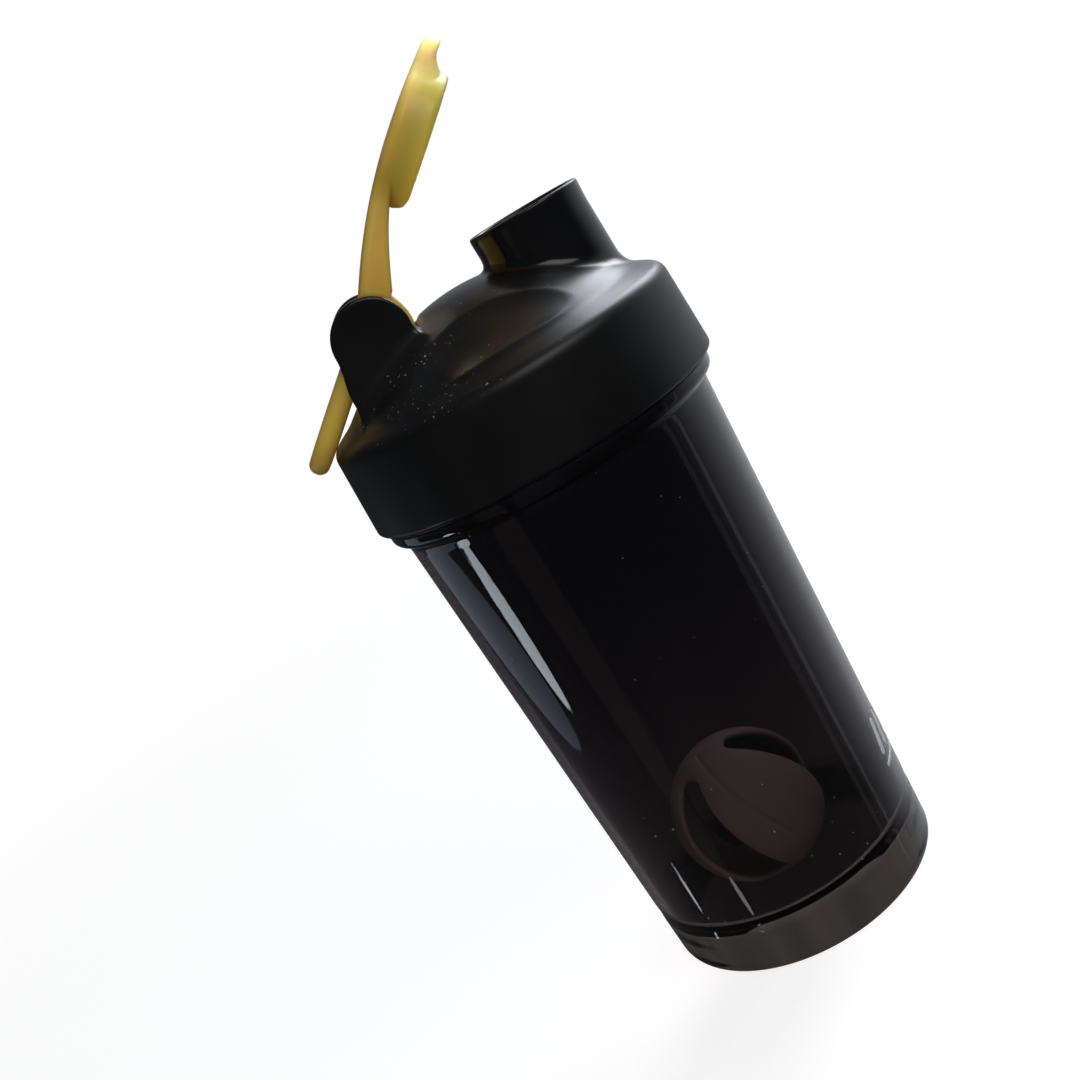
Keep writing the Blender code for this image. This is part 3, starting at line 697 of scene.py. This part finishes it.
def make_lid():
    low = (-LID_RADIUS, -LID_RADIUS, LID_BOTTOM)
    high = (LID_RADIUS, LID_RADIUS, HINGE_Z + EAR_RADIUS)
    points, normals, quads = surface_quads(lid_shape, low, high, LID_STEP)
    lid = mesh_piece("lid_shell", points, quads, normals)
    r = np.hypot(points[:, 0], points[:, 1])
    from_spout = np.hypot(points[:, 0] - SPOUT_X, points[:, 1])
    spout = smooth_step((17.0 - from_spout) / 2.0) * smooth_step((points[:, 2] - dome_height(r) - 0.3) / 1.5)
    spout *= smooth_step((SPOUT_TOP - 0.3 - points[:, 2]) / 0.8)
    dome = smooth_step((points[:, 2] - 159.5) / 2.5) * (1 - spout)
    add_mask(lid, "spout_gloss", spout)
    add_mask(lid, "dome_gloss", dome)
    return lid


def make_flip_cap():
    low = (LOOP_END_X, -CAP_RADIUS, HINGE_Z - HUB_RADIUS)
    high = (TAB_END_X, CAP_RADIUS, CAP_TOP)
    points, normals, quads = surface_quads(cap_shape, low, high, CAP_STEP)
    pivot = Matrix.Translation(Vector((HINGE_X, 0.0, HINGE_Z)) * MM)
    opened = pivot @ Matrix.Rotation(-OPEN_ANGLE, 4, "Y") @ pivot.inverted()
    return mesh_piece("flip_cap_body", points, quads, normals, opened)


def make_ball():
    points, normals, quads = surface_quads(ball_shape, BALL_CENTRE - Vector((BALL_RADIUS,) * 3),
                                           BALL_CENTRE + Vector((BALL_RADIUS,) * 3), BALL_STEP)
    ball = mesh_piece("mixing_ball_shell", points, quads, normals)
    out = np.linalg.norm(points - np.array(BALL_CENTRE), axis=1)
    # Marks the inside of the shell, which its material darkens as painted shade.
    add_mask(ball, "painted_inner_shade", smooth_step((BALL_RADIUS - 0.5 - out) / 0.9))
    return ball


def add_mask(piece, name, values):
    mask = piece.data.attributes.new(name, "FLOAT", "POINT")
    mask.data.foreach_set("value", np.asarray(values, np.float32))


# ---------------------------------------------------------------- materials

class Finish:
    """A node material, with short helpers for the nodes it needs."""

    def __init__(self, name):
        self.material = bpy.data.materials.new(name)
        self.material.use_nodes = True
        self.nodes = self.material.node_tree.nodes
        self.links = self.material.node_tree.links
        self.shader = self.nodes["Principled BSDF"]
        self.output = self.nodes["Material Output"]
        self.place = self.nodes.new("ShaderNodeTexCoord").outputs["Object"]

    def node(self, kind, **settings):
        made = self.nodes.new(kind)
        for key, value in settings.items():
            setattr(made, key, value)
        return made

    def link(self, source, target):
        if isinstance(source, (int, float, tuple)):
            target.default_value = source
        else:
            self.links.new(source, target)

    def stretched(self, x, y, z):
        """The place on the object, stretched along the axes."""
        mapping = self.node("ShaderNodeMapping")
        mapping.inputs["Scale"].default_value = (x, y, z)
        self.link(self.place, mapping.inputs["Vector"])
        return mapping.outputs["Vector"]

    def noise(self, scale, detail=2.0, place=None):
        made = self.node("ShaderNodeTexNoise")
        made.inputs["Scale"].default_value = scale
        made.inputs["Detail"].default_value = detail
        self.link(place or self.place, made.inputs["Vector"])
        return made.outputs["Fac"]

    def spread(self, value, low, high, to_low, to_high, smooth=False):
        made = self.node("ShaderNodeMapRange", interpolation_type="SMOOTHSTEP" if smooth else "LINEAR")
        self.link(value, made.inputs["Value"])
        for key, number in (("From Min", low), ("From Max", high), ("To Min", to_low), ("To Max", to_high)):
            made.inputs[key].default_value = number
        return made.outputs["Result"]

    def math(self, operation, a, b=0.0):
        made = self.node("ShaderNodeMath", operation=operation)
        self.link(a, made.inputs[0])
        self.link(b, made.inputs[1])
        return made.outputs[0]

    def blend(self, share, a, b):
        made = self.node("ShaderNodeMix", data_type="RGBA")
        self.link(share, made.inputs["Factor"])
        self.link(a, made.inputs["A"])
        self.link(b, made.inputs["B"])
        return made.outputs["Result"]

    def bump(self, height, distance, strength=1.0, under=None):
        made = self.node("ShaderNodeBump")
        made.inputs["Distance"].default_value = distance
        made.inputs["Strength"].default_value = strength
        self.link(height, made.inputs["Height"])
        if under is not None:
            self.link(under, made.inputs["Normal"])
        return made.outputs["Normal"]

    def along(self, axis):
        """The place along one of the object's axes, "X", "Y" or "Z", in metres."""
        split = self.node("ShaderNodeSeparateXYZ")
        self.link(self.place, split.inputs[0])
        return split.outputs[axis]

    def mask(self, name):
        made = self.node("ShaderNodeAttribute", attribute_name=name)
        return made.outputs["Fac"]

    def facing_up(self, low, high):
        geometry = self.node("ShaderNodeNewGeometry")
        split = self.node("ShaderNodeSeparateXYZ")
        self.link(geometry.outputs["Normal"], split.inputs[0])
        return self.spread(split.outputs["Z"], low, high, 0.0, 1.0, smooth=True)

    def set(self, **values):
        for key, value in values.items():
            self.link(value, self.shader.inputs[key.replace("_", " ")])


def black_plastic():
    """Satin black moulding: fine grain on the band, smoother dome, glossy spout, with settled dust and a
    painted bluish-grey sheen on upward faces.
    """
    f = Finish("lid_black_plastic")
    spout, dome = f.mask("spout_gloss"), f.mask("dome_gloss")
    cloud = f.noise(55.0, 3.0)
    specks = f.noise(1500.0, 1.0)
    patches = f.noise(110.0, 2.0)
    dust = f.spread(specks, 0.70, 0.75, 0.0, 1.0)
    dust = f.math("MULTIPLY", dust, f.spread(patches, 0.48, 0.60, 0.0, 1.0))
    dust = f.math("MULTIPLY", dust, f.spread(f.along("X"), -0.012, 0.018, 1.0, 0.25))
    dust = f.math("MULTIPLY", dust, f.facing_up(0.35, 0.7))
    # A pale bluish-grey film in patches on upward faces, away from the spout: painted sheen, partly a dust
    # film.
    haze_and_painted_sheen = f.math("MULTIPLY", f.spread(cloud, 0.35, 0.75, 0.0, 0.35), f.facing_up(0.3, 0.9))
    haze_and_painted_sheen = f.math("MULTIPLY", haze_and_painted_sheen, f.math("SUBTRACT", 1.0, spout))
    shade = f.spread(cloud, 0.3, 0.7, 0.0, 1.0)
    base = f.blend(shade, (0.0038, 0.0040, 0.0048, 1), (0.0062, 0.0065, 0.0075, 1))
    base = f.blend(haze_and_painted_sheen, base, (0.030, 0.031, 0.033, 1))
    base = f.blend(dust, base, (0.34, 0.32, 0.26, 1))
    rough = f.spread(cloud, 0.3, 0.7, 0.36, 0.44)
    rough = f.math("SUBTRACT", rough, f.math("MULTIPLY", dome, 0.10))
    rough = f.math("SUBTRACT", rough, f.math("MULTIPLY", spout, 0.26))
    rough = f.math("MAXIMUM", rough, f.math("MULTIPLY", dust, 0.8))
    grain = f.bump(f.noise(2600.0, 2.0), 0.00003, 0.35)
    waves = f.bump(f.noise(90.0, 2.0), 0.0002, 0.25, grain)
    f.set(Base_Color=base, Roughness=rough, Normal=waves, IOR=1.46)
    return f.material


def yellow_plastic():
    """Milky yellow polypropylene that light soaks into, with faint flow marks, fine scuffs and a painted glow
    towards the top.
    """
    f = Finish("flip_cap_yellow_plastic")
    flow = f.noise(45.0, 3.0, f.stretched(0.35, 1.0, 1.0))
    scuffs = f.noise(700.0, 3.0, f.stretched(1.0, 0.15, 1.0))
    base = f.blend(f.spread(flow, 0.3, 0.7, 0.0, 1.0), (0.80, 0.505, 0.090, 1), (0.86, 0.565, 0.125, 1))
    # Painted highlight: the colour is lightened towards pale cream at the top of the open cap, as if strongly
    # lit from above.
    painted_tip_glow = f.spread(f.along("Z"), 0.2170, 0.2300, 0.0, 0.5, smooth=True)
    base = f.blend(painted_tip_glow, base, (1.0, 0.80, 0.45, 1))
    rough = f.math("ADD", f.spread(flow, 0.3, 0.7, 0.30, 0.38), f.spread(scuffs, 0.6, 0.8, 0.0, 0.16))
    grain = f.bump(scuffs, 0.00004, 0.25)
    f.set(Base_Color=base, Roughness=rough, Normal=grain, IOR=1.49)
    f.shader.inputs["Subsurface Weight"].default_value = 1.0
    f.shader.inputs["Subsurface Radius"].default_value = (1.0, 0.62, 0.28)
    f.shader.inputs["Subsurface Scale"].default_value = 0.008
    return f.material


def smoke_plastic():
    """Smoke-tinted clear plastic: glassy, with moulding waves, hairline scratches and a few specks."""
    f = Finish("cup_smoke_plastic")
    z = f.along("Z")
    up_wall = f.spread(z, 0.025, 0.105, 0.0, 1.0, smooth=True)
    wall = f.blend(up_wall, (0.082, 0.070, 0.073, 1), (0.034, 0.030, 0.036, 1))
    runs = f.noise(95.0, 2.0, f.stretched(1.0, 1.0, 0.08))
    skirt = f.blend(f.spread(runs, 0.42, 0.62, 0.0, 1.0), (0.031, 0.027, 0.023, 1), (0.050, 0.043, 0.037, 1))
    tint = f.blend(f.spread(z, 0.0118, 0.0142, 1.0, 0.0, smooth=True), wall, skirt)
    cloud = f.noise(40.0, 3.0, f.stretched(1.0, 1.0, 0.3))
    tint = f.blend(f.spread(cloud, 0.3, 0.7, 0.0, 0.3), tint, (0.030, 0.027, 0.032, 1))
    specks = f.noise(820.0, 1.0)
    patches = f.noise(38.0, 1.0)
    dust = f.spread(specks, 0.785, 0.81, 0.0, 1.0)
    dust = f.math("MULTIPLY", dust, f.spread(patches, 0.52, 0.62, 0.0, 1.0))
    waves = f.bump(f.noise(26.0, 2.0, f.stretched(1.0, 1.0, 0.12)), 0.0016, 0.12)
    scratches = f.noise(1500.0, 2.0, f.stretched(1.0, 1.0, 0.02))
    fine = f.bump(f.spread(scratches, 0.62, 0.74, 0.0, 1.0), 0.00001, 0.2, waves)
    rough = f.math("ADD", f.spread(scratches, 0.55, 0.8, 0.025, 0.09), f.math("MULTIPLY", dust, 0.6))
    clear = f.math("SUBTRACT", 1.0, dust)
    tint = f.blend(dust, tint, (0.6, 0.6, 0.6, 1))
    f.set(Base_Color=tint, Roughness=rough, Normal=fine, Transmission_Weight=clear, IOR=1.36)
    lamp = f.node("ShaderNodeBsdfTransparent")
    lamp.inputs["Color"].default_value = (1.0, 0.97, 0.97, 1)
    path = f.node("ShaderNodeLightPath")
    mix = f.node("ShaderNodeMixShader")
    f.link(path.outputs["Is Shadow Ray"], mix.inputs["Fac"])
    f.link(f.shader.outputs[0], mix.inputs[1])
    f.link(lamp.outputs[0], mix.inputs[2])
    f.link(mix.outputs[0], f.output.inputs["Surface"])
    return f.material


def pale_plastic():
    """Pale, slightly pink polypropylene with a satin moulded face, darkened inside the shell by painted
    shade.
    """
    f = Finish("ball_pale_plastic")
    flow = f.noise(60.0, 3.0)
    base = f.blend(f.spread(flow, 0.3, 0.7, 0.0, 1.0), (0.80, 0.66, 0.64, 1), (0.88, 0.74, 0.71, 1))
    # Painted shade: the inside of the shell is darkened to a dim brownish pink, as if it lay in shadow.
    base = f.blend(f.mask("painted_inner_shade"), base, (0.16, 0.13, 0.13, 1))
    rough = f.spread(flow, 0.3, 0.7, 0.42, 0.52)
    grain = f.bump(f.noise(1800.0, 2.0), 0.00004, 0.3)
    f.set(Base_Color=base, Roughness=rough, Normal=grain)
    f.shader.inputs["Subsurface Weight"].default_value = 0.3
    f.shader.inputs["Subsurface Radius"].default_value = (1.0, 0.8, 0.7)
    f.shader.inputs["Subsurface Scale"].default_value = 0.002
    return f.material


def grey_silicone():
    """Matt grey silicone with a little bloom on its face."""
    f = Finish("seal_grey_silicone")
    bloom = f.noise(220.0, 3.0)
    base = f.blend(f.spread(bloom, 0.35, 0.7, 0.0, 1.0), (0.30, 0.30, 0.31, 1), (0.38, 0.38, 0.39, 1))
    f.set(Base_Color=base, Roughness=f.spread(bloom, 0.3, 0.7, 0.55, 0.7), Normal=f.bump(bloom, 0.00005, 0.3))
    return f.material


def white_ink():
    """Screen-printed white ink, mottled and a little worn."""
    f = Finish("print_white_ink")
    wear = f.noise(900.0, 3.0)
    base = f.blend(f.spread(wear, 0.55, 0.75, 0.0, 0.6), (0.93, 0.93, 0.95, 1), (0.45, 0.45, 0.47, 1))
    f.set(Base_Color=base, Roughness=f.spread(wear, 0.3, 0.7, 0.4, 0.6), Normal=f.bump(wear, 0.00002, 0.3))
    return f.material


# ---------------------------------------------------------------- camera, light and floor

def direction(azimuth, elevation):
    """Unit vector from the object towards an azimuth and elevation, in degrees. Azimuth 0 is -Y."""
    a, e = radians(azimuth), radians(elevation)
    return Vector((sin(a) * cos(e), -cos(a) * cos(e), sin(e)))


def make_camera():
    """The photographed view: nearly level, along the hinge's axis, with the bottle leaning in the frame."""
    back = direction(-0.465, 13.487)
    right = Vector((0, 0, 1)).cross(back).normalized()
    up = back.cross(right)
    roll = Matrix.Rotation(radians(-31.099), 3, back)
    right, up = roll @ right, roll @ up
    camera = bpy.data.objects.new("camera", bpy.data.cameras.new("camera"))
    camera.data.lens = 47.017
    camera.data.sensor_width = 36.0
    camera.matrix_world = Matrix((right, up, back)).transposed().to_4x4()
    camera.location = Vector((AXIS_X - 0.01625, -0.33730, 0.19708))
    bpy.context.scene.collection.objects.link(camera)
    bpy.context.scene.camera = camera


def area_light(name, azimuth, elevation, distance, width, height, power, colour, glossy=True):
    """A softbox that faces the middle of the bottle and isn't seen itself."""
    target = Vector((AXIS_X, 0.0, 0.10))
    light = bpy.data.lights.new(name, "AREA")
    light.shape = "RECTANGLE"
    light.size, light.size_y = width, height
    light.energy = power
    light.color = colour
    lamp = bpy.data.objects.new(name, light)
    lamp.location = target + direction(azimuth, elevation) * distance
    lamp.rotation_euler = (target - lamp.location).to_track_quat("-Z", "Y").to_euler()
    lamp.visible_camera = False
    lamp.visible_glossy = glossy
    bpy.context.scene.collection.objects.link(lamp)


def make_world():
    """White behind everything. What lights the object is bright at the back and dim at the front."""
    world = bpy.data.worlds.new("studio")
    world.use_nodes = True
    bpy.context.scene.world = world
    nodes, links = world.node_tree.nodes, world.node_tree.links
    seen = nodes["Background"]
    seen.inputs["Color"].default_value = (1, 1, 1, 1)
    lit = nodes.new("ShaderNodeBackground")
    lit.inputs["Color"].default_value = (0.90, 0.94, 1.0, 1)
    place = nodes.new("ShaderNodeTexCoord")
    towards_bright = nodes.new("ShaderNodeVectorMath")
    towards_bright.operation = "DOT_PRODUCT"
    towards_bright.inputs[1].default_value = (0.7, 0.71, 0.0)
    strength = nodes.new("ShaderNodeMapRange")
    strength.interpolation_type = "SMOOTHSTEP"
    strength.inputs["From Min"].default_value = 0.4
    strength.inputs["From Max"].default_value = 1.0
    strength.inputs["To Min"].default_value = 0.05
    strength.inputs["To Max"].default_value = 0.64
    path = nodes.new("ShaderNodeLightPath")
    mix = nodes.new("ShaderNodeMixShader")
    links.new(place.outputs["Generated"], towards_bright.inputs[0])
    links.new(towards_bright.outputs["Value"], strength.inputs["Value"])
    links.new(strength.outputs["Result"], lit.inputs["Strength"])
    links.new(path.outputs["Is Camera Ray"], mix.inputs["Fac"])
    links.new(lit.outputs[0], mix.inputs[1])
    links.new(seen.outputs[0], mix.inputs[2])
    links.new(mix.outputs[0], nodes["World Output"].inputs["Surface"])


def make_floor():
    """A pale matt floor that fades into the white backdrop."""
    mesh = bpy.data.meshes.new("studio_floor")
    half = 6.0
    corners = [(-half, -half, 0), (half, -half, 0), (half, half, 0), (-half, half, 0)]
    mesh.from_pydata(corners, [], [(0, 1, 2, 3)])
    floor = bpy.data.objects.new("studio_floor", mesh)
    floor.location.z = -0.0001
    bpy.context.scene.collection.objects.link(floor)
    f = Finish("studio_floor")
    mottle = f.noise(9.0, 3.0)
    f.set(Base_Color=f.blend(mottle, (0.45, 0.45, 0.45, 1), (0.48, 0.48, 0.48, 1)), Roughness=0.7)
    f.shader.inputs["Emission Color"].default_value = (1, 1, 1, 1)
    f.shader.inputs["Emission Strength"].default_value = 0.74
    glow = f.node("ShaderNodeEmission")
    away = f.node("ShaderNodeVectorMath", operation="LENGTH")
    f.link(f.place, away.inputs[0])
    mix = f.node("ShaderNodeMixShader")
    f.link(f.spread(away.outputs["Value"], 0.1, 0.8, 0.0, 1.0, smooth=True), mix.inputs["Fac"])
    f.link(f.shader.outputs[0], mix.inputs[1])
    f.link(glow.outputs[0], mix.inputs[2])
    f.link(mix.outputs[0], f.output.inputs["Surface"])
    floor.data.materials.append(f.material)
    floor.visible_glossy = False
    floor.visible_diffuse = False


def strip_light(name, low_end, high_end, width, power, colour):
    """A long light with pointed ends between two places, in metres from the bottle's axis."""
    low_end, high_end = Vector(low_end), Vector(high_end)
    middle = (low_end + high_end) / 2
    along = (high_end - low_end).normalized()
    away = (middle - Vector((0.0, 0.0, 0.11))).normalized()
    across = along.cross(away).normalized()
    away = across.cross(along)
    light = bpy.data.lights.new(name, "AREA")
    light.shape = "ELLIPSE"
    light.size, light.size_y = width, (high_end - low_end).length
    light.energy = power
    light.color = colour
    lamp = bpy.data.objects.new(name, light)
    lamp.matrix_world = Matrix((across, along, away)).transposed().to_4x4()
    lamp.location = middle + Vector((AXIS_X, 0.0, 0.0))
    lamp.visible_camera = False
    bpy.context.scene.collection.objects.link(lamp)


def make_lights():
    """Long lights that draw the streaks on the cup, and soft ones that light the whole bottle."""
    window = (0.82, 0.90, 1.0)
    daylight = (0.86, 0.92, 1.0)
    pale = (0.90, 0.93, 1.0)
    sky = (0.66, 0.78, 1.0)
    warm = (1.0, 0.88, 0.83)
    mauve = (0.95, 0.90, 0.95)
    strip_light("window_left", (-0.625, 0.036, -0.166), (-0.640, -0.030, -0.030), 0.11, 0.32, window)
    strip_light("wall_left", (-0.618, 0.080, -0.146), (-0.463, 0.455, -0.002), 0.17, 0.105, sky)
    strip_light("pane_left", (-0.586, 0.019, -0.290), (-0.573, 0.041, -0.326), 0.022, 0.016, daylight)
    strip_light("pane_front", (-0.460, -0.351, -0.323), (-0.446, -0.355, -0.350), 0.030, 0.010, pale)
    strip_light("card_left", (-0.62, -0.45, -0.45), (-0.62, -0.45, 0.20), 0.26, 0.04, warm)
    strip_light("strip_right", (0.56, -0.04, -0.37), (0.66, -0.07, 0.02), 0.045, 0.016, (0.92, 0.95, 1.0))
    strip_light("strip_right_soft", (0.54, -0.15, -0.37), (0.64, -0.19, 0.02), 0.06, 0.010, mauve)
    area_light("window_back_right", 136, 37, 0.9, 0.34, 0.60, 4.6, (0.88, 0.92, 1.0))
    area_light("room_front", 30, 44, 1.0, 0.8, 0.5, 2.9, (1.0, 0.985, 0.96))
    area_light("fill_front", -22, 8, 0.8, 0.5, 0.5, 1.6, (1.0, 0.98, 0.94), glossy=False)
    area_light("glow_on_tab", 86, 74.2, 0.1621, 0.03, 0.03, 0.025, (1.0, 0.99, 0.98), glossy=False)


def place(piece, finish, body, node=None, slot=None):
    piece.data.materials.append(finish)
    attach(piece, body)
    if node:
        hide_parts(node)


make_camera()
make_world()
make_lights()
make_floor()
place(make_cup(), smoke_plastic(), "cup", "cup", "cup_plastic")
place(make_print(), white_ink(), "cup")
place(make_lid(), black_plastic(), "lid", "lid", "lid_plastic")
place(make_flip_cap(), yellow_plastic(), "flip_cap", "flip_cap", "cap_plastic")
place(make_seal_ring(), grey_silicone(), "seal", "seal_ring", "seal_silicone")
place(make_ball(), pale_plastic(), "ball", "mixing_ball", "ball_plastic")
bpy.context.scene.view_settings.view_transform = "Standard"
